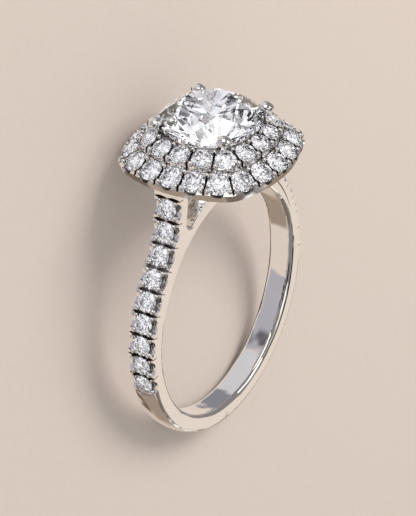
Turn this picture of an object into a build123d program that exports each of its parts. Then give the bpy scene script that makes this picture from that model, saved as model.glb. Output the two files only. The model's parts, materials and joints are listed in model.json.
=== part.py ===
from build123d import *
from math import atan2, cos, degrees, hypot, radians, sin, sqrt, tan
import os

# A cushion-shaped double halo ring in white metal, in millimetres.
# It is modelled upright: X runs from shoulder to shoulder, Y is the finger's axis and Z points
# from the finger to the centre stone. At the end it is laid on its side, as a ring lies by itself.

# Finger band
finger_radius = 8.4
finger_hole_stock = 1.0
band_half_width = 1.0
band_outer_radius = 9.88
band_outer_lift = 0.06
band_dome_radius = 2.6
band_edge_radius = 0.28
inner_edge_radius = 0.38

# Arch under the head: a thinner ribbon that narrows a little towards the top
arch_outer_radius = 9.22
arch_top_half_width = 0.78
arch_taper_start = 3.0
arch_edge_radius = 0.25

# Cathedral shoulders
shoulder_leave_angle = 40.0
shoulder_sweep_radius = 8.0
shoulder_thickness = 1.1
shoulder_cut_down = 0.14
shoulder_root_radius = 0.66
shoulder_root_bite = 0.01
shoulder_top_height = 11.72
shoulder_end_step = 0.3
shoulder_end_pocket = 1.0
crease_radius = 8.274
crease_centre = (-0.333, 0.915)

# Halo plate: half width at the middle of a side, and height, of each edge of the plate
halo_corner_ratio = 0.324
halo_side_ratio = 1.642
halo_rim_bottom = (5.60, 11.32)
halo_rim_top = (5.76, 11.86)
halo_step_bottom = (4.45, 12.74)
halo_step_top = (4.45, 13.04)
halo_crest = (3.26, 13.73)
halo_cavity_mouth = (5.12, 11.32)
halo_cavity_step_low = (4.02, 12.10)
halo_cavity_step_high = (4.02, 12.42)
halo_cavity_top = (3.12, 12.94)
halo_bore_top_radius = 3.14
halo_bore_low_radius = 2.92

# Stones: radius at the girdle, then the rows that they sit in
centre_radius = 3.5
centre_height = 14.2
centre_culet_radius = 0.4
centre_culet_depth = 3.2
outer_radius = 0.77
outer_count = 20
outer_row = (5.06, 12.30)
outer_tilt = 36.0
inner_radius = 0.72
inner_count = 16
inner_row = (3.86, 13.40)
inner_tilt = 30.0
shoulder_radius = 0.70
shoulder_count = 9
shoulder_pitch = 1.58
shoulder_first_height = 10.16

# A brilliant's proportions, as parts of its girdle radius
table_ratio = 0.56
star_ratio = 0.76
lower_ratio = 0.22
girdle_ratio = 0.05
crown_angle = 34.5
pavilion_angle = 40.8

# Setting work
seat_clearance = 0.025
seat_hole_radius = 0.28
seat_hole_depth = 1.5
blind_hole_depth = 0.8
seat_clear_height = 0.7
slot_width = 0.16
slot_depth = 0.42
slot_length_ratio = 1.7
slot_shift_ratio = 0.25
leaf_width = 0.25
leaf_length = 1.12
leaf_shift = 0.51
bead_radius = 0.19
bead_spread = 0.2
bead_lift = 0.06
bead_outside_ratio = 0.72
bead_inside_ratio = 0.74
shoulder_bead_across = 0.6
shoulder_bead_along = 0.53
scallop_radius = 0.48
scallop_length = 1.0
scallop_drop = 0.2
scallop_floor = 0.3
shoulder_scallop_radius = 0.72
shoulder_scallop_lift = 0.45
shoulder_scallop_floor = 0.55

# Claws for the centre stone
claw_reach = 2.70
claw_height = 14.5
claw_tip_radius = 0.51
claw_tip_half_height = 0.36
claw_tip_edge_radius = 0.24
claw_tip_lean = 14.0
claw_wire_top_radius = 0.34
claw_wire_foot_radius = 0.27
claw_wire_sink = 0.1
claw_foot_reach = 0.58
claw_foot_height = 8.95


# Cushion outline: four long side arcs and four corner arcs that meet without a kink
def cushion(half_width, height):
    corner = halo_corner_ratio * half_width
    side = halo_side_ratio * half_width
    side_centre = half_width - side
    reach = side - corner
    corner_centre = (side_centre + sqrt(2 * reach**2 - side_centre**2)) / 2
    turn = degrees(atan2(corner_centre, corner_centre - side_centre))
    arcs = []
    for quarter in range(4):
        start = 90.0 * quarter
        c, s = cos(radians(start)), sin(radians(start))
        side_at = (side_centre * c, side_centre * s, height)
        corner_at = (corner_centre * (c - s), corner_centre * (c + s), height)
        if quarter == 0:
            arcs.append(CenterArc(side_at, side, 0, turn))
        else:
            arcs.append(CenterArc(side_at, side, start - turn, 2 * turn))
        arcs.append(CenterArc(corner_at, corner, start + turn, 90 - 2 * turn))
    arcs.append(CenterArc((side_centre, 0, height), side, -turn, turn))
    return Wire(arcs)


def cushion_block(*edges):
    block = None
    for lower, upper in zip(edges, edges[1:]):
        layer = Solid.make_loft([cushion(*lower), cushion(*upper)], True)
        block = layer if block is None else block + layer
    return block


# A round brilliant, table up, with its girdle at the origin: 8 stars, 8 crown kites,
# 16 upper and 16 lower girdle facets, and 8 pavilion mains
def brilliant(radius, girdle_points=1.0):
    half_girdle = girdle_ratio * radius / 2
    crown_slope = tan(radians(crown_angle))
    pavilion_slope = tan(radians(pavilion_angle))
    mid = cos(radians(22.5))

    def at(ratio, step, height):
        turn = radians(22.5 * step)
        return Vector(radius * ratio * cos(turn), radius * ratio * sin(turn), height)

    def crown(ratio):
        return half_girdle + radius * (girdle_points - ratio) * crown_slope

    def pavilion(ratio):
        return -half_girdle - radius * (girdle_points - ratio) * pavilion_slope

    table = [at(table_ratio, 2 * k, crown(table_ratio)) for k in range(8)]
    star = [at(star_ratio, 2 * k + 1, crown(star_ratio * mid)) for k in range(8)]
    top = [at(girdle_points, k, half_girdle) for k in range(16)]
    low = [at(girdle_points, k, -half_girdle) for k in range(16)]
    lower = [at(lower_ratio, 2 * k + 1, pavilion(lower_ratio * mid)) for k in range(8)]
    culet = Vector(0, 0, pavilion(0))

    facets = [table]
    for k in range(8):
        after, before, edge = (k + 1) % 8, (k - 1) % 8, 2 * k
        middle, last = edge + 1, (edge + 2) % 16
        facets.append([table[k], star[k], table[after]])
        facets.append([table[k], star[before], top[edge], star[k]])
        facets.append([star[k], top[edge], top[middle]])
        facets.append([star[k], top[middle], top[last]])
        facets.append([top[edge], low[edge], low[middle], top[middle]])
        facets.append([top[middle], low[middle], low[last], top[last]])
        facets.append([lower[k], low[middle], low[edge]])
        facets.append([lower[k], low[last], low[middle]])
        facets.append([culet, lower[k], low[edge], lower[before]])
    faces = [Face(Wire.make_polygon(facet)) for facet in facets]
    return Solid(Shell(faces))


# The centre stone's girdle is round: its points are cut back to the circle that its edges touch
centre_points = 1 / cos(radians(11.25))


def centre_brilliant():
    return brilliant(centre_radius, centre_points) & Cylinder(centre_radius, 4 * centre_radius)


# The room a stone needs in the metal: its own cone shape with a little clearance, open above
# the table, and a drilled hole behind the culet
def seat(radius, hole_radius=seat_hole_radius, hole_depth=seat_hole_depth, girdle_points=1.0):
    wide = radius * girdle_points + seat_clearance
    half_girdle = girdle_ratio * radius / 2 + seat_clearance
    table = table_ratio * radius
    crown_height = half_girdle + (wide - table) * tan(radians(crown_angle))
    hole_top = -half_girdle - (wide - hole_radius) * tan(radians(pavilion_angle))
    profile = Polyline(
        (0, -hole_depth),
        (hole_radius, -hole_depth),
        (hole_radius, hole_top),
        (wide, -half_girdle),
        (wide, half_girdle),
        (table, crown_height),
        (table, seat_clear_height),
        (0, seat_clear_height),
        close=True,
    )
    return revolve(Plane.XZ * make_face(profile), Axis.Z)


# Where the halo's stones sit: a plane for each, with X along the row and Z out of the table
def halo_planes(row, tilt, count, shift=0.0):
    half_width, height = row
    outline = cushion(half_width, height)
    planes = []
    for k in range(count):
        along = ((k + shift) / count) % 1.0
        tangent = outline % along
        outward = Vector(tangent.Y, -tangent.X, 0)
        normal = outward * sin(radians(tilt)) + Vector(0, 0, cos(radians(tilt)))
        planes.append(Plane(outline @ along, x_dir=tangent, z_dir=normal))
    return planes


# The left shoulder's outer line is the band's circle up to where it leaves it, then a reverse
# sweep up to the halo. Distances run down the line from the first stone.
leave = radians(shoulder_leave_angle)
leave_x = -band_outer_radius * cos(leave)
leave_z = band_outer_lift + band_outer_radius * sin(leave)
sweep_x = -(band_outer_radius + shoulder_sweep_radius) * cos(leave)
sweep_z = band_outer_lift + (band_outer_radius + shoulder_sweep_radius) * sin(leave)
first_angle = -atan2(sweep_z - shoulder_first_height, shoulder_sweep_radius)
sweep_length = shoulder_sweep_radius * (leave + first_angle)
end_distance = (shoulder_count - 1) * shoulder_pitch + shoulder_end_step
shoulder_end = leave - (end_distance - sweep_length) / band_outer_radius


def shoulder_plane(distance):
    if distance < sweep_length:
        angle = first_angle - distance / shoulder_sweep_radius
        outward = Vector(-cos(angle), 0, -sin(angle))
        point = Vector(sweep_x, 0, sweep_z) - outward * (shoulder_sweep_radius + shoulder_cut_down)
    else:
        angle = leave - (distance - sweep_length) / band_outer_radius
        outward = Vector(-cos(angle), 0, sin(angle))
        point = Vector(0, 0, band_outer_lift) + outward * (band_outer_radius - shoulder_cut_down)
    return Plane(point, x_dir=(0, -1, 0), z_dir=outward)


def mirrored(shapes):
    return shapes + [mirror(shape, Plane.YZ) for shape in shapes]


# The plain band: a domed strip turned round the finger hole
def band():
    edge = band_outer_radius - band_dome_radius
    edge += sqrt(band_dome_radius**2 - band_half_width**2)
    dome = ThreePointArc((edge, -band_half_width), (band_outer_radius, 0), (edge, band_half_width))
    base = finger_radius - finger_hole_stock
    sides = Polyline(
        (edge, band_half_width), (base, band_half_width), (base, -band_half_width), (edge, -band_half_width)
    )
    section = make_face([dome, sides])
    section = fillet(section.vertices().sort_by(Axis.X)[-2:], band_edge_radius)
    ring = revolve(section, Axis.Y).moved(Location((0, 0, band_outer_lift)))
    # Above the end of the stones the band gives way to the shoulders and the arch
    reach = 2 * band_outer_radius
    side, low = reach * cos(shoulder_end), reach * sin(shoulder_end)
    lower_part = make_face(
        Polyline((0, 0), (-side, low), (-side, -reach), (side, -reach), (side, low), close=True)
    )
    return ring & extrude(Plane.XZ * lower_part, band_half_width + 1, both=True)


# A point seen along the finger, by its distance from the finger's axis and from the sweep's centre
def between(from_axis, from_sweep):
    apart = hypot(sweep_x, sweep_z)
    along = (from_axis**2 - from_sweep**2 + apart**2) / (2 * apart)
    across = sqrt(from_axis**2 - along**2)
    return (
        (along * sweep_x + across * sweep_z) / apart,
        (along * sweep_z - across * sweep_x) / apart,
    )


# The shoulders, seen along the finger, cut down to the level of the stones' girdles
def shoulders():
    reach = 2 * band_outer_radius
    top = make_face(
        Polyline(
            (0, band_outer_lift), (-reach * cos(leave), band_outer_lift + reach * sin(leave)), (0, 2 * reach),
            close=True,
        )
    )
    end_at = (-reach * cos(shoulder_end), reach * sin(shoulder_end))
    bottom = make_face(Polyline((0, 0), end_at, (0, -2 * reach), close=True))
    # Below this circle the arch ribbon shows beside the shoulder, with a crease between them
    crease = Circle(crease_radius).moved(Location(crease_centre))
    ring = Circle(band_outer_radius - shoulder_cut_down).moved(Location((0, band_outer_lift)))
    ring -= crease
    ring -= top + bottom + Rectangle(2 * reach, 4 * reach).moved(Location((reach, 0)))
    # The sweep that leaves the band and rises to the halo, with a web at its root
    back_radius = shoulder_sweep_radius + shoulder_thickness
    strip = Circle(back_radius) - Circle(shoulder_sweep_radius + shoulder_cut_down)
    strip = strip.moved(Location((sweep_x, sweep_z)))
    strip &= top & Rectangle(2 * reach, 2 * shoulder_top_height)
    strip -= crease
    apart = shoulder_root_radius - shoulder_root_bite
    root = Vector(between(arch_outer_radius + apart, back_radius + apart))
    sweep = Vector(sweep_x, sweep_z)
    on_arch = root * (arch_outer_radius / (arch_outer_radius + apart))
    on_back = sweep + (root - sweep) * (back_radius / (back_radius + apart))
    web = Polyline(between(arch_outer_radius, back_radius), on_arch, root, on_back, close=True)
    web = make_face(web) - Circle(shoulder_root_radius).moved(Location(root))
    left = ring + strip + web
    return extrude(Plane.XZ * (left + mirror(left, Plane.YZ)), band_half_width, both=True)


# The arch ribbon, a full turn round the finger with sides that close in towards the top
def arch():
    base = finger_radius - finger_hole_stock
    section = Rectangle(arch_outer_radius - base, 2 * band_half_width)
    section = section.moved(Location(((arch_outer_radius + base) / 2, 0)))
    section = fillet(section.vertices().sort_by(Axis.X)[-2:], arch_edge_radius)
    ring = revolve(section, Axis.Y)
    top = arch_outer_radius + 1
    taper = make_face(
        Polyline(
            (-band_half_width, -top), (band_half_width, -top), (band_half_width, arch_taper_start),
            (arch_top_half_width, top), (-arch_top_half_width, top), (-band_half_width, arch_taper_start),
            close=True,
        )
    )
    return ring & extrude(Plane.YZ * taper, top, both=True)


# The finger hole, with its edges rounded over
def finger_hole():
    flare = Rectangle(finger_radius, 4 * band_half_width).moved(Location((finger_radius / 2, 0)))
    for side in (1, -1):
        x = finger_radius + inner_edge_radius
        y = side * (band_half_width - inner_edge_radius)
        corner = Rectangle(inner_edge_radius, inner_edge_radius)
        corner = corner.moved(Location((x - inner_edge_radius / 2, y + side * inner_edge_radius / 2)))
        flare += corner - Circle(inner_edge_radius).moved(Location((x, y)))
    return revolve(flare, Axis.Y)


def halo_plate():
    plate = cushion_block(halo_rim_bottom, halo_rim_top, halo_step_bottom, halo_step_top, halo_crest)
    cavity = cushion_block(halo_cavity_mouth, halo_cavity_step_low, halo_cavity_step_high, halo_cavity_top)
    bore = Pos(0, 0, halo_crest[1]) * Cone(
        halo_bore_low_radius,
        halo_bore_top_radius,
        2 * (halo_crest[1] - halo_cavity_top[1]),
    )
    return plate - cavity - bore


# Beads stand in the gaps between stones: a split pair on the open side of a row and one or a
# pair on its other side
def bead(plane, along, across):
    return plane * Pos(along, across, bead_lift) * Sphere(bead_radius)


def halo_beads():
    beads = []
    for row, tilt, count, radius in (
        (outer_row, outer_tilt, outer_count, outer_radius),
        (inner_row, inner_tilt, inner_count, inner_radius),
    ):
        for plane in halo_planes(row, tilt, count, 0.5):
            beads.append(bead(plane, -bead_spread, -bead_outside_ratio * radius))
            beads.append(bead(plane, bead_spread, -bead_outside_ratio * radius))
            beads.append(bead(plane, 0, bead_inside_ratio * radius))
    return beads


def shoulder_beads():
    beads = []
    for plane in left_planes:
        for across in (-shoulder_bead_across, shoulder_bead_across):
            for along in (-shoulder_bead_along, shoulder_bead_along):
                beads.append(plane * Pos(across, along, 0) * Sphere(bead_radius))
    return mirrored(beads)


# Saw cuts between neighbouring stones: straight ones in the halo, and a pair of leaf-shaped ones
# on the shoulders, which meet in the middle
def slots():
    cuts = []
    tall = slot_depth + seat_clear_height
    middle = (seat_clear_height - slot_depth) / 2
    for row, tilt, count, radius in (
        (outer_row, outer_tilt, outer_count, outer_radius),
        (inner_row, inner_tilt, inner_count, inner_radius),
    ):
        for plane in halo_planes(row, tilt, count, 0.5):
            cut = Box(slot_width, slot_length_ratio * radius, tall)
            cuts.append(plane * Pos(0, -slot_shift_ratio * radius, middle) * cut)
    bow = (leaf_length**2 + leaf_width**2) / (4 * leaf_width)
    rise = bow - leaf_width / 2
    outline = Circle(bow).moved(Location((0, rise))) & Circle(bow).moved(Location((0, -rise)))
    leaf = Pos(0, 0, -slot_depth) * extrude(outline, tall)
    for k in range(shoulder_count):
        plane = shoulder_plane((k - 0.5) * shoulder_pitch)
        cuts += mirrored([plane * Pos(side * leaf_shift, 0, 0) * leaf for side in (-1, 1)])
    return cuts


# Scallops let light in from the side, below each stone's girdle, and a round pocket ends the
# row of stones on each shoulder
def scallops():
    upright = (Align.CENTER, Align.CENTER, Align.MIN)
    cut = Cylinder(scallop_radius, scallop_length, align=upright)
    cuts = []
    for plane in halo_planes(outer_row, 90.0, outer_count):
        cuts.append(plane * Pos(0, -scallop_drop, scallop_floor) * cut)
    cut = Cylinder(shoulder_scallop_radius, scallop_length, align=upright)
    for plane in left_planes:
        for side in (-1, 1):
            out = Pos(side * shoulder_scallop_floor, 0, shoulder_scallop_lift) * Rot(0, side * 90, 0)
            cuts += mirrored([plane * out * cut])
    pocket = Cylinder(shoulder_end_pocket, seat_clear_height, align=upright)
    return cuts + mirrored([left_planes[-1] * pocket])


# The end of a claw is a flattened ball: an outline of arcs, turned round its axis
def claw_tip():
    side_at = claw_tip_radius - claw_tip_edge_radius
    dome = side_at**2 + claw_tip_half_height**2 - claw_tip_edge_radius**2
    dome /= 2 * (claw_tip_half_height - claw_tip_edge_radius)
    turn = degrees(atan2(dome - claw_tip_half_height, side_at))
    drop = dome - claw_tip_half_height
    oval = [
        CenterArc((0, drop), dome, -90, 90 - turn),
        CenterArc((side_at, 0), claw_tip_edge_radius, -turn, 2 * turn),
        CenterArc((0, -drop), dome, turn, 90 - turn),
        Line((0, claw_tip_half_height), (0, -claw_tip_half_height)),
    ]
    return revolve(Plane.XZ * make_face(oval), Axis.Z)


def claw(turn):
    diagonal = sqrt(2)
    tip_at = Vector(claw_reach * diagonal, 0, claw_height)
    foot_at = Vector(claw_foot_reach * diagonal, 0, claw_foot_height)
    wire_top = tip_at - Vector(claw_wire_sink, 0, claw_wire_sink)
    line = wire_top - foot_at
    wire = Plane(foot_at, z_dir=line) * Cone(
        claw_wire_foot_radius,
        claw_wire_top_radius,
        line.length,
        align=(Align.CENTER, Align.CENTER, Align.MIN),
    )
    tip = Pos(*tip_at) * Rot(0, claw_tip_lean, 0) * claw_tip()
    return Rot(0, 0, turn) * (wire + tip)


# Stones, each in its place
outer_planes = halo_planes(outer_row, outer_tilt, outer_count)
inner_planes = halo_planes(inner_row, inner_tilt, inner_count)
left_planes = [shoulder_plane(k * shoulder_pitch) for k in range(shoulder_count)]
centre_plane = Plane((0, 0, centre_height))

outer_stone = brilliant(outer_radius)
inner_stone = brilliant(inner_radius)
shoulder_stone = brilliant(shoulder_radius)
left_stones = [plane * shoulder_stone for plane in left_planes]

stones = {"centre_stone": centre_plane * centre_brilliant()}
for k, plane in enumerate(outer_planes, 1):
    stones[f"halo_outer_{k:02d}"] = plane * outer_stone
for k, plane in enumerate(inner_planes, 1):
    stones[f"halo_inner_{k:02d}"] = plane * inner_stone
stones["shoulder_stones_left"] = Compound(left_stones)
stones["shoulder_stones_right"] = Compound([mirror(stone, Plane.YZ) for stone in left_stones])

# The mount, one solid of metal
seats = [plane * seat(outer_radius) for plane in outer_planes]
seats += [plane * seat(inner_radius) for plane in inner_planes]
seats += mirrored([plane * seat(shoulder_radius, hole_depth=blind_hole_depth) for plane in left_planes])
seats.append(
    centre_plane * seat(centre_radius, centre_culet_radius, centre_culet_depth, centre_points)
)

mount = band() + shoulders() + arch() + halo_plate()
mount = mount.fuse(*[claw(45 + 90 * k) for k in range(4)])
mount = mount.cut(finger_hole()).cut(*scallops())
mount = mount.fuse(*halo_beads()).fuse(*shoulder_beads())
mount = mount.cut(*slots()).cut(*seats)
print("mount valid:", mount.is_valid, "volume", round(mount.volume, 1), "mm3")

# Laid on its side: the halo's edge and the back of the band touch the surface
edge_in = band_half_width - band_edge_radius
edge_drop = band_outer_radius - band_dome_radius - band_outer_lift
edge_drop += sqrt((band_dome_radius - band_edge_radius)**2 - edge_in**2)
run = halo_rim_top[0] - edge_in
rise = halo_rim_top[1] + edge_drop
lean = degrees(atan2(run, rise) - atan2(band_edge_radius, hypot(run, rise)))
laid = Rot(lean - 90, 0, 0)
box = (laid * Compound([mount.solid(), stones["centre_stone"].solid()])).bounding_box()
place = Pos(-box.center().X, -box.center().Y, -box.min.Z) * laid

os.makedirs("parts", exist_ok=True)
pieces = {"ring_mount": mount, **stones}
for name, piece in pieces.items():
    export_step(place * piece, f"parts/{name}.step")
print("finger hole leans", round(lean, 3), "degrees; its centre is at", place.position)
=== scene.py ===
# %% [markdown]
# # A halo ring in white gold
# A round diamond of 7 mm stands in four claws, with two rows of small diamonds round it and
# nine more down each shoulder. The ring lies on its side, as a ring does by itself. Its metal
# and its stones are solids that come from the CAD frame, with every facet, bead and saw cut
# in them, so nothing is modelled again here. This script gives them their finish, and adds
# the floor, the light and the camera. Blender works in metres, in the same frame as the CAD.

import json
from math import cos, degrees, radians, sin

import bpy
from mathutils import Matrix, Vector


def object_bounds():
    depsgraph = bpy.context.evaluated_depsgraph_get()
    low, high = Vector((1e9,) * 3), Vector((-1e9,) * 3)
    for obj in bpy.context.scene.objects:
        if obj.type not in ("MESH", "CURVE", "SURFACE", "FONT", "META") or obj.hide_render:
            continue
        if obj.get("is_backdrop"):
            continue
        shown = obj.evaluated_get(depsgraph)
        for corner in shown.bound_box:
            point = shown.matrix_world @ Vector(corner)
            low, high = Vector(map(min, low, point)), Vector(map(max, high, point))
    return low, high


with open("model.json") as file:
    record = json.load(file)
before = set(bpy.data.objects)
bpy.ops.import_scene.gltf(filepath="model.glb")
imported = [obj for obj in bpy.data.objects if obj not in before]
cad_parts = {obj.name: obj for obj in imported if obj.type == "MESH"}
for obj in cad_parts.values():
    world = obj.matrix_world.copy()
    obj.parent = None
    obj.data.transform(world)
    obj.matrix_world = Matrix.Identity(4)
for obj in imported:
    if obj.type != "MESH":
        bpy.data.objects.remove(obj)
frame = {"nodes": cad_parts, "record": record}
cad_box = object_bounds()
MM = 0.001
print("pieces in the frame:", len(frame["nodes"]))

# %% [markdown]
# A jeweller thinks of a ring as it stands: the finger runs through it, and the stone is on
# top. The finger hole's place and direction come from the record, and give that upright
# frame again. Its Y runs along the finger and its Z towards the centre stone.

# %% The ring's own upright frame
hole = next(m for m in frame["record"]["mounts"] if m["name"] == "finger_hole")
along_finger = -Vector(hole["axis"]).normalized()
shoulder_to_shoulder = Vector((1, 0, 0))
towards_stone = shoulder_to_shoulder.cross(along_finger)
turn = Matrix((shoulder_to_shoulder, along_finger, towards_stone)).transposed()
ring_frame = Matrix.Translation(hole["pos_m"]) @ turn.to_4x4()


def from_ring(x, y, z):
    """A point in the upright frame, in millimetres, as a place in the scene."""
    return ring_frame @ (Vector((x, y, z)) * MM)


lean = degrees(along_finger.angle(Vector((0, 0, -1))))
print("the ring leans", round(lean, 1), "degrees")

# %% [markdown]
# Three small helpers serve every material. One turns a colour as it is picked on a screen
# (sRGB hex) into the linear values that a renderer adds up. One adds a node with its settings
# and its links. The last starts an empty material.


# %% Helpers for colours and nodes
def srgb(text):
    parts = [int(text[i : i + 2], 16) / 255 for i in (1, 3, 5)]
    linear = [c / 12.92 if c <= 0.04045 else ((c + 0.055) / 1.055) ** 2.4 for c in parts]
    return (*linear, 1.0)


def add(tree, kind, inputs=None, **settings):
    made = tree.nodes.new(kind)
    for name, value in settings.items():
        setattr(made, name, value)
    for name, value in (inputs or {}).items():
        if isinstance(value, bpy.types.NodeSocket):
            tree.links.new(value, made.inputs[name])
        else:
            made.inputs[name].default_value = value
    return made


def new_material(name):
    material = bpy.data.materials.new(name)
    material.use_nodes = True
    material.node_tree.nodes.clear()
    return material, material.node_tree


# %% [markdown]
# The camera looks at the ring from the side of one shoulder and from above the stones. It
# stands far off behind a long lens, as in jewellery photography, so the ring hardly narrows
# with distance. The angles are counted in the ring's upright frame.

# %% The camera
CAMERA_AROUND = -56.177
CAMERA_ABOVE = 32.651
CAMERA_ROLL = -2.693
CAMERA_DISTANCE = 140.7
CAMERA_TARGET = (-1.1256, 0.0, 3.8241)
LENS = 142.88
SENSOR_WIDTH = 36.0
NEAREST_SEEN = 10 * MM

around, above = radians(CAMERA_AROUND), radians(CAMERA_ABOVE)
backward = Vector((sin(around) * cos(above), -cos(around) * cos(above), sin(above)))
right = Vector((0, 0, 1)).cross(backward).normalized()
upright = Matrix((right, backward.cross(right), backward)).transposed()
rolled = turn @ upright @ Matrix.Rotation(radians(CAMERA_ROLL), 3, "Z")

camera = bpy.data.objects.new("camera", bpy.data.cameras.new("camera"))
camera.data.lens = LENS
camera.data.sensor_width = SENSOR_WIDTH
camera.data.clip_start = NEAREST_SEEN
place = from_ring(*(Vector(CAMERA_TARGET) + CAMERA_DISTANCE * backward))
camera.matrix_world = Matrix.Translation(place) @ rolled.to_4x4()
bpy.context.scene.collection.objects.link(camera)
bpy.context.scene.camera = camera
print("camera at", [round(v / MM, 1) for v in place], "mm")

# %% [markdown]
# The ring lies on a plain sheet of warm off-white card. Uncoated card scatters light evenly,
# so it has no shine, and its fibre shows as a faint mottling, about 0.6 mm across.
#
# A photographer hangs cards round polished metal until it mirrors pleasant tones. A real
# tabletop would hide the lower half of such a room. Here the sheet is there for the eye and
# for shadows that fall on it. A ray that the metal or a stone has turned goes on through it,
# to the tones that are painted all round further down, and so does a ray to a lamp.

# %% The floor
FLOOR_HALF = 600 * MM
FLOOR_GRAIN = 0.6 * MM
FLOOR_TONES = ("#E8DCD5", "#ECE1DB")
FLOOR_ROUGHNESS = 0.8

matt_card, tree = new_material("uncoated_warm_white_card")
place = add(tree, "ShaderNodeTexCoord").outputs["Object"]
grain = add(tree, "ShaderNodeTexNoise", {"Vector": place, "Scale": 1 / FLOOR_GRAIN})
tone = add(
    tree,
    "ShaderNodeMix",
    {"Factor": grain.outputs["Fac"], "A": srgb(FLOOR_TONES[0]), "B": srgb(FLOOR_TONES[1])},
    data_type="RGBA",
)
surface = add(
    tree,
    "ShaderNodeBsdfPrincipled",
    {"Base Color": tone.outputs["Result"], "Roughness": FLOOR_ROUGHNESS},
)
ray = add(tree, "ShaderNodeLightPath").outputs
passes = ray["Is Shadow Ray"]
for kind in ("Is Glossy Ray", "Is Transmission Ray"):
    either = add(tree, "ShaderNodeMath", {0: passes, 1: ray[kind]}, operation="MAXIMUM")
    passes = either.outputs["Value"]
gone = add(tree, "ShaderNodeBsdfTransparent").outputs["BSDF"]
shown = add(tree, "ShaderNodeMixShader", {"Fac": passes, 1: surface.outputs["BSDF"], 2: gone})
add(tree, "ShaderNodeOutputMaterial", {"Surface": shown.outputs["Shader"]})

mesh = bpy.data.meshes.new("floor")
corners = [(-1, -1), (1, -1), (1, 1), (-1, 1)]
mesh.from_pydata([(x * FLOOR_HALF, y * FLOOR_HALF, 0) for x, y in corners], [], [(0, 1, 2, 3)])
mesh.materials.append(matt_card)
floor = bpy.data.objects.new("floor", mesh)
bpy.context.scene.collection.objects.link(floor)
floor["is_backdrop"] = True
print("floor of", round(2 * FLOOR_HALF / MM), "mm a side")

# %% [markdown]
# The mount is cast and soldered 18 carat white gold, polished, and plated with rhodium. That
# metal is nearly without colour, so what the eye reads is the room in it. Three things tell
# it from a perfect mirror. A polishing mop leaves very broad, shallow waves, which bend the
# edges of the reflections. Wear leaves hairlines. Handling leaves patches that scatter a
# little more light. All three come from noise whose scale is a real size in millimetres.

# %% Polished rhodium plate: its tone and its waves
WAVE = 2.2 * MM
WAVE_DEPTH = 0.2 * MM
# A real hairline is a few hundredths of a millimetre wide, too fine to show, so it is coarser
HAIRLINE = 0.12 * MM
HAIRLINE_DEPTH = 0.0015 * MM
HAIRLINE_STRENGTH = 0.25
PATCH = 1.5 * MM
# Noise hardly leaves this range, which is spread over the roughness of best and worst polish
PATCH_RANGE = (0.3, 0.7)
POLISH = (0.04, 0.11)
METAL_TONES = ("#E9E6E3", "#F1EFEC")

metal, tree = new_material("polished_rhodium_plated_white_gold")
place = add(tree, "ShaderNodeTexCoord").outputs["Object"]
patches = add(tree, "ShaderNodeTexNoise", {"Vector": place, "Scale": 1 / PATCH, "Detail": 3.0})
polish = add(
    tree,
    "ShaderNodeMapRange",
    {
        "Value": patches.outputs["Fac"],
        "From Min": PATCH_RANGE[0],
        "From Max": PATCH_RANGE[1],
        "To Min": POLISH[0],
        "To Max": POLISH[1],
    },
)
tint = add(
    tree,
    "ShaderNodeMix",
    {"Factor": patches.outputs["Fac"], "A": srgb(METAL_TONES[0]), "B": srgb(METAL_TONES[1])},
    data_type="RGBA",
)
waves = add(tree, "ShaderNodeTexNoise", {"Vector": place, "Scale": 1 / WAVE, "Detail": 1.0})
mopped = add(
    tree,
    "ShaderNodeBump",
    {"Height": waves.outputs["Fac"], "Strength": 1.0, "Distance": WAVE_DEPTH},
)
lines = add(tree, "ShaderNodeTexNoise", {"Vector": place, "Scale": 1 / HAIRLINE, "Detail": 2.0})
relief = add(
    tree,
    "ShaderNodeBump",
    {
        "Height": lines.outputs["Fac"],
        "Strength": HAIRLINE_STRENGTH,
        "Distance": HAIRLINE_DEPTH,
        "Normal": mopped.outputs["Normal"],
    },
)
print("waves", round(WAVE / MM, 2), "mm and hairlines", round(HAIRLINE / MM, 2), "mm across")

# %% [markdown]
# A polishing mop doesn't reach into the saw cuts, the scallops and the seats, so the metal is
# rougher there, and its colour is darkened there as painted shade. Ambient occlusion finds such
# places by itself: it looks how much of the space within 0.8 mm is free. Where the metal is
# seen through a stone's facets, the painted shade and the roughness are left off, so it stays
# bright.

# %% Polished rhodium plate: rougher cuts, with painted shade in them
CUT_REACH = 0.8 * MM
# The painted shade: the tone that the metal's colour is darkened to in the cuts
CUT_PAINTED_SHADE_TONE = "#7D756D"
CUT_ROUGHNESS = 0.5
# Metal with the first share of that space free is wholly dull and darkened by painted shade,
# with the second wholly polished and unshaded
CUT_FREE = (0.15, 0.62)
CUT_SAMPLES = 6
# Transmission Depth counts the stones' faces that a ray went through: this parts none from one
HALF_A_FACE = 0.5

outside = add(
    tree,
    "ShaderNodeMath",
    {0: add(tree, "ShaderNodeLightPath").outputs["Transmission Depth"], 1: HALF_A_FACE},
    operation="LESS_THAN",
)
free = add(tree, "ShaderNodeAmbientOcclusion", {"Distance": CUT_REACH}, samples=CUT_SAMPLES)
# How dull the metal is here, and how much painted shade darkens its colour
dull_and_painted_shade = add(
    tree,
    "ShaderNodeMapRange",
    {
        "Value": free.outputs["AO"],
        "From Min": CUT_FREE[0],
        "From Max": CUT_FREE[1],
        "To Min": outside.outputs["Value"],
        "To Max": 0.0,
    },
).outputs["Result"]
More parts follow.
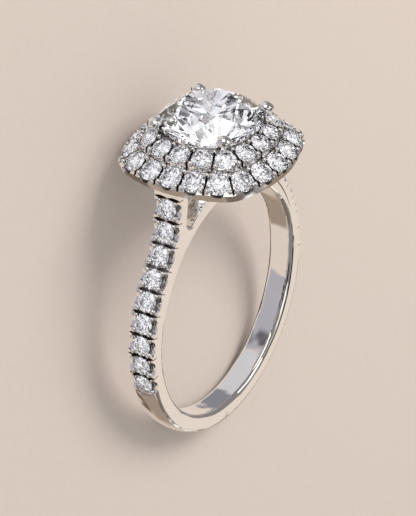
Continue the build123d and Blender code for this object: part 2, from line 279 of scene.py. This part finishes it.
# The metal's colour, with the painted shade of the cuts mixed in
colour = add(
    tree,
    "ShaderNodeMix",
    {"Factor": dull_and_painted_shade, "A": tint.outputs["Result"], "B": srgb(CUT_PAINTED_SHADE_TONE)},
    data_type="RGBA",
)
roughness = add(
    tree,
    "ShaderNodeMix",
    {"Factor": dull_and_painted_shade, "A": polish.outputs["Result"], "B": CUT_ROUGHNESS},
)
plate = add(
    tree,
    "ShaderNodeBsdfPrincipled",
    {
        "Base Color": colour.outputs["Result"],
        "Metallic": 1.0,
        "Roughness": roughness.outputs["Result"],
        "Normal": relief.outputs["Normal"],
    },
)
add(tree, "ShaderNodeOutputMaterial", {"Surface": plate.outputs["BSDF"]})
print("the cuts are greyed within", round(CUT_REACH / MM, 2), "mm")

# %% [markdown]
# A diamond bends light more than almost any clear stone (IOR 2.417), so most of what enters
# through the top is sent back out of it by the facets below. It is polished flat by flat on
# an iron wheel, so its facets are mirrors that meet in sharp edges. Nothing in the material
# makes the sparkle: the cut does. A fine stone still varies a little in its clarity, so its
# tint wanders between clear and the faintest blue.

# %% Diamond, cut and polished
DIAMOND_IOR = 2.417
STONE_CLOUD = 0.4 * MM
STONE_TONES = ("#FFFFFF", "#FAFBFD")

diamond, tree = new_material("diamond_cut_and_polished")
place = add(tree, "ShaderNodeTexCoord").outputs["Object"]
cloud = add(tree, "ShaderNodeTexNoise", {"Vector": place, "Scale": 1 / STONE_CLOUD})
tint = add(
    tree,
    "ShaderNodeMix",
    {"Factor": cloud.outputs["Fac"], "A": srgb(STONE_TONES[0]), "B": srgb(STONE_TONES[1])},
    data_type="RGBA",
)
clear = add(
    tree,
    "ShaderNodeBsdfPrincipled",
    {
        "Base Color": tint.outputs["Result"],
        "Roughness": 0.0,
        "IOR": DIAMOND_IOR,
        "Transmission Weight": 1.0,
    },
)
add(tree, "ShaderNodeOutputMaterial", {"Surface": clear.outputs["BSDF"]})
print("diamond, IOR", DIAMOND_IOR)

# %% [markdown]
# The mount takes the metal and every other node is a stone. The solids keep their own meshes,
# because their shape is already the one that shows.

# %% Give every piece its finish
for name, piece in frame["nodes"].items():
    piece.data.materials.clear()
    piece.data.materials.append(metal if name == "ring_mount" else diamond)
print("finished", len(frame["nodes"]), "pieces")

# %% [markdown]
# Jewellery is lit by what surrounds it. The room here has no walls: it is a colour for each
# direction, so it looks the same from everywhere on something as small as a ring. It is
# painted three times, because a photographer arranges it three times. The card on the floor
# gets an even, soft light. The metal gets a room of grey tones with darker and whiter cards
# hung in it, since a mirror that sees one tone looks flat. The stones get a tent of small
# bright and dark panels, which their facets break into sparkle.

# %% The room
ROOM_TONE = "#979592"
ROOM_STRENGTH = 1.72

scene = bpy.context.scene
room = bpy.data.worlds.new("studio_room")
room.use_nodes = True
scene.world = room
tree = room.node_tree
tree.nodes.clear()
way = add(tree, "ShaderNodeTexCoord").outputs["Generated"]
soft_light = add(
    tree,
    "ShaderNodeBackground",
    {"Color": srgb(ROOM_TONE), "Strength": ROOM_STRENGTH},
)
print("soft light", ROOM_TONE, "times", ROOM_STRENGTH)

# %% [markdown]
# A card is a round patch of one tone in one direction: full inside its half angle, and gone
# past its soft edge. Laid one over another they make the metal's room. The way to place a
# card is to take a face of the ring, mirror the line of sight in it, and hang the card where
# that line goes. The first card is the dim upper half of the room. The shank's inside shows
# cool grey cards, its flat side a warm one, and each round claw tip shows nearly all of them,
# with dark ones at its rim. Tones past 1 are lamps or windows, and give white highlights.

# %% What the metal mirrors
BELOW = "#E9DCD0"
# direction, half angle and soft edge in degrees, tone, strength
CARDS = (
    ((0.00, 0.00, 1.00), 84, 9, "#8C898A", 1.0),
    ((0.20, -0.75, -0.62), 30, 14, "#D4C4B4", 1.0),
    ((-0.25, -0.85, -0.45), 18, 12, "#A79686", 1.0),
    ((-0.18, -0.95, 0.22), 14, 10, "#7D7064", 1.0),
    ((0.80, 0.50, -0.24), 16, 6, "#8F8E98", 1.0),
    ((0.70, -0.63, 0.34), 14, 8, "#F2E5D9", 1.0),
    ((0.72, -0.69, -0.10), 11, 6, "#9C8A78", 1.0),
    ((0.88, -0.47, -0.10), 8, 4, "#908F97", 1.0),
    ((0.30, -0.93, 0.02), 8, 6, "#FFFFFF", 1.1),
    ((-0.02, -0.14, 0.99), 10, 8, "#D2CDC8", 1.0),
    ((-0.24, 0.90, 0.36), 19, 4, "#FFFFFF", 2.0),
    ((0.30, 0.35, 0.89), 12, 4, "#FFFFFF", 2.2),
    ((-0.40, -0.02, 0.91), 11, 4, "#FFFFFF", 1.4),
    ((-0.83, -0.16, 0.53), 13, 3, "#0C0B0B", 1.0),
    ((-0.96, 0.24, 0.13), 8, 3, "#0C0B0B", 1.0),
    ((0.27, -0.51, 0.82), 14, 3, "#141313", 1.0),
    ((0.15, -0.02, -0.99), 20, 8, "#45403C", 1.0),
    ((-0.66, 0.62, -0.34), 34, 6, "#B9B7C1", 1.0),
    ((0.30, 0.90, -0.26), 22, 6, "#DAD9DE", 1.0),
    ((-0.36, 0.88, -0.30), 2, 8, "#66636B", 1.0),
    ((0.08, -0.60, -0.79), 6, 6, "#75665A", 1.0),
)


def lay_card(below, direction, half_angle, edge, tone, strength):
    """A round card over what is there: full inside its half angle, gone past its soft edge."""
    facing = add(
        tree,
        "ShaderNodeVectorMath",
        {0: way, 1: Vector(direction).normalized()},
        operation="DOT_PRODUCT",
    )
    amount = add(
        tree,
        "ShaderNodeMapRange",
        {
            "Value": facing.outputs["Value"],
            "From Min": cos(radians(half_angle + edge)),
            "From Max": cos(radians(half_angle)),
        },
        interpolation_type="SMOOTHSTEP",
    )
    light = [c * strength for c in srgb(tone)[:3]] + [1.0]
    mix = add(
        tree,
        "ShaderNodeMix",
        {"Factor": amount.outputs["Result"], "A": below, "B": light},
        data_type="RGBA",
    )
    return mix.outputs["Result"]


below = add(tree, "ShaderNodeRGB")
below.outputs["Color"].default_value = srgb(BELOW)
seen = below.outputs["Color"]
for card in CARDS:
    seen = lay_card(seen, *card)
mirrored_room = add(tree, "ShaderNodeBackground", {"Color": seen, "Strength": 1.0})
print("cards round the metal:", len(CARDS))

# %% [markdown]
# A diamond's brilliance needs both bright and dark round it: each facet picks one small patch
# of the surroundings, and neighbours that pick different ones are what the eye sees as
# sparkle. The tent is cut into cells about 15 degrees across, each with one of four levels.
# Below the stones, where the mount is, only the paler levels are used, so that light which
# leaks through a tilted stone doesn't leave a dark hole in it. The tint is slightly cool.

# %% The tent round the stones
PANELS = 4.0
PANEL_SHIFT = (1.3, 0.4, 0.2)
# each level's lowest draw from 0 to 1, and its brightness
PANEL_LEVELS = ((0.0, 0.06), (0.22, 0.40), (0.38, 1.05), (0.74, 1.45))
# Between these heights the lowest draw that a cell can have rises from 0 to PALE_BELOW
PALE_FROM, PALE_TO = -0.2, -0.5
PALE_BELOW = 0.45
COOL = 1.05

shifted = add(tree, "ShaderNodeVectorMath", {0: way, 1: PANEL_SHIFT}, operation="ADD")
panels = add(
    tree,
    "ShaderNodeTexVoronoi",
    {"Vector": shifted.outputs["Vector"], "Scale": PANELS},
)
drawn = add(tree, "ShaderNodeSeparateColor", {"Color": panels.outputs["Color"]})
height = add(
    tree,
    "ShaderNodeVectorMath",
    {0: way, 1: towards_stone},
    operation="DOT_PRODUCT",
)
least = add(
    tree,
    "ShaderNodeMapRange",
    {
        "Value": height.outputs["Value"],
        "From Min": PALE_FROM,
        "From Max": PALE_TO,
        "To Max": PALE_BELOW,
    },
)
panel = add(
    tree,
    "ShaderNodeMath",
    {0: drawn.outputs["Red"], 1: least.outputs["Result"]},
    operation="MAXIMUM",
)
levels = add(tree, "ShaderNodeValToRGB", {"Fac": panel.outputs["Value"]})
ramp = levels.color_ramp
ramp.interpolation = "CONSTANT"
while len(ramp.elements) < len(PANEL_LEVELS):
    ramp.elements.new(1.0)
for stop, (start, level) in zip(ramp.elements, PANEL_LEVELS):
    stop.position = start
    stop.color = (level, level, level * COOL, 1.0)
tent = add(tree, "ShaderNodeBackground", {"Color": levels.outputs["Color"], "Strength": 1.0})
print("tent levels:", [level for start, level in PANEL_LEVELS])

# %% [markdown]
# The Light Path node tells which of the three a ray should find. A ray that has been inside a
# stone finds the tent, one that the metal or a facet has mirrored finds the cards, and any
# other finds the soft light.

# %% Which of the three a ray finds
ray = add(tree, "ShaderNodeLightPath").outputs
been_inside = add(
    tree,
    "ShaderNodeMath",
    {0: ray["Transmission Depth"], 1: HALF_A_FACE},
    operation="GREATER_THAN",
)
found = soft_light.outputs["Background"]
choices = ((ray["Is Glossy Ray"], mirrored_room), (been_inside.outputs["Value"], tent))
for share, other in choices:
    sockets = {"Fac": share, 1: found, 2: other.outputs["Background"]}
    found = add(tree, "ShaderNodeMixShader", sockets).outputs["Shader"]
add(tree, "ShaderNodeOutputWorld", {"Surface": found})
print("rooms that a ray can find:", 1 + len(choices))

# %% [markdown]
# One large round lamp adds the shadow that sets the ring on its sheet. It stands high and
# behind, 400 mm off and 260 mm wide, so the shadow is soft and falls to the near side. The
# metal and the stones don't mirror it: their highlights are the white cards.

# %% The key lamp
KEY_DIRECTION = Vector((0.50, 0.45, 0.74)).normalized()
KEY_DISTANCE = 400 * MM
KEY_SIZE = 260 * MM
KEY_POWER = 0.82
KEY_TONE = "#FFF6EC"

lamp = bpy.data.lights.new("key", "AREA")
lamp.shape = "DISK"
lamp.size = KEY_SIZE
lamp.energy = KEY_POWER
lamp.color = srgb(KEY_TONE)[:3]
key = bpy.data.objects.new("key", lamp)
key.location = KEY_DIRECTION * KEY_DISTANCE
key.rotation_euler = KEY_DIRECTION.to_track_quat("Z", "Y").to_euler()
key.visible_glossy = False
scene.collection.objects.link(key)
print("key lamp at", [round(v / MM) for v in key.location], "mm,", KEY_POWER, "W")

# %% [markdown]
# Light goes through a diamond in many steps before it leaves, so the path tracer is allowed
# more of them than usual. The plain Standard curve keeps the tones as they are picked here.

# %% Light paths and tone
STEPS = 24
STEPS_IN_STONES = 20
STEPS_BETWEEN_MIRRORS = 8

scene.cycles.max_bounces = STEPS
scene.cycles.transmission_bounces = STEPS_IN_STONES
scene.cycles.glossy_bounces = STEPS_BETWEEN_MIRRORS
scene.view_settings.view_transform = "Standard"
print("steps through clear stones:", STEPS_IN_STONES)

# %% [markdown]
# Last, the size of what shows is written beside the size of the CAD model. Finishes and
# lights don't change a shape, so the two boxes are the same.

# %% Sizes, for the comparison with the CAD box
boxes = {"cad": cad_box, "visual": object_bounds()}
for name, box in boxes.items():
    print(name, "box", [[round(v / MM, 2) for v in corner] for corner in box], "mm")
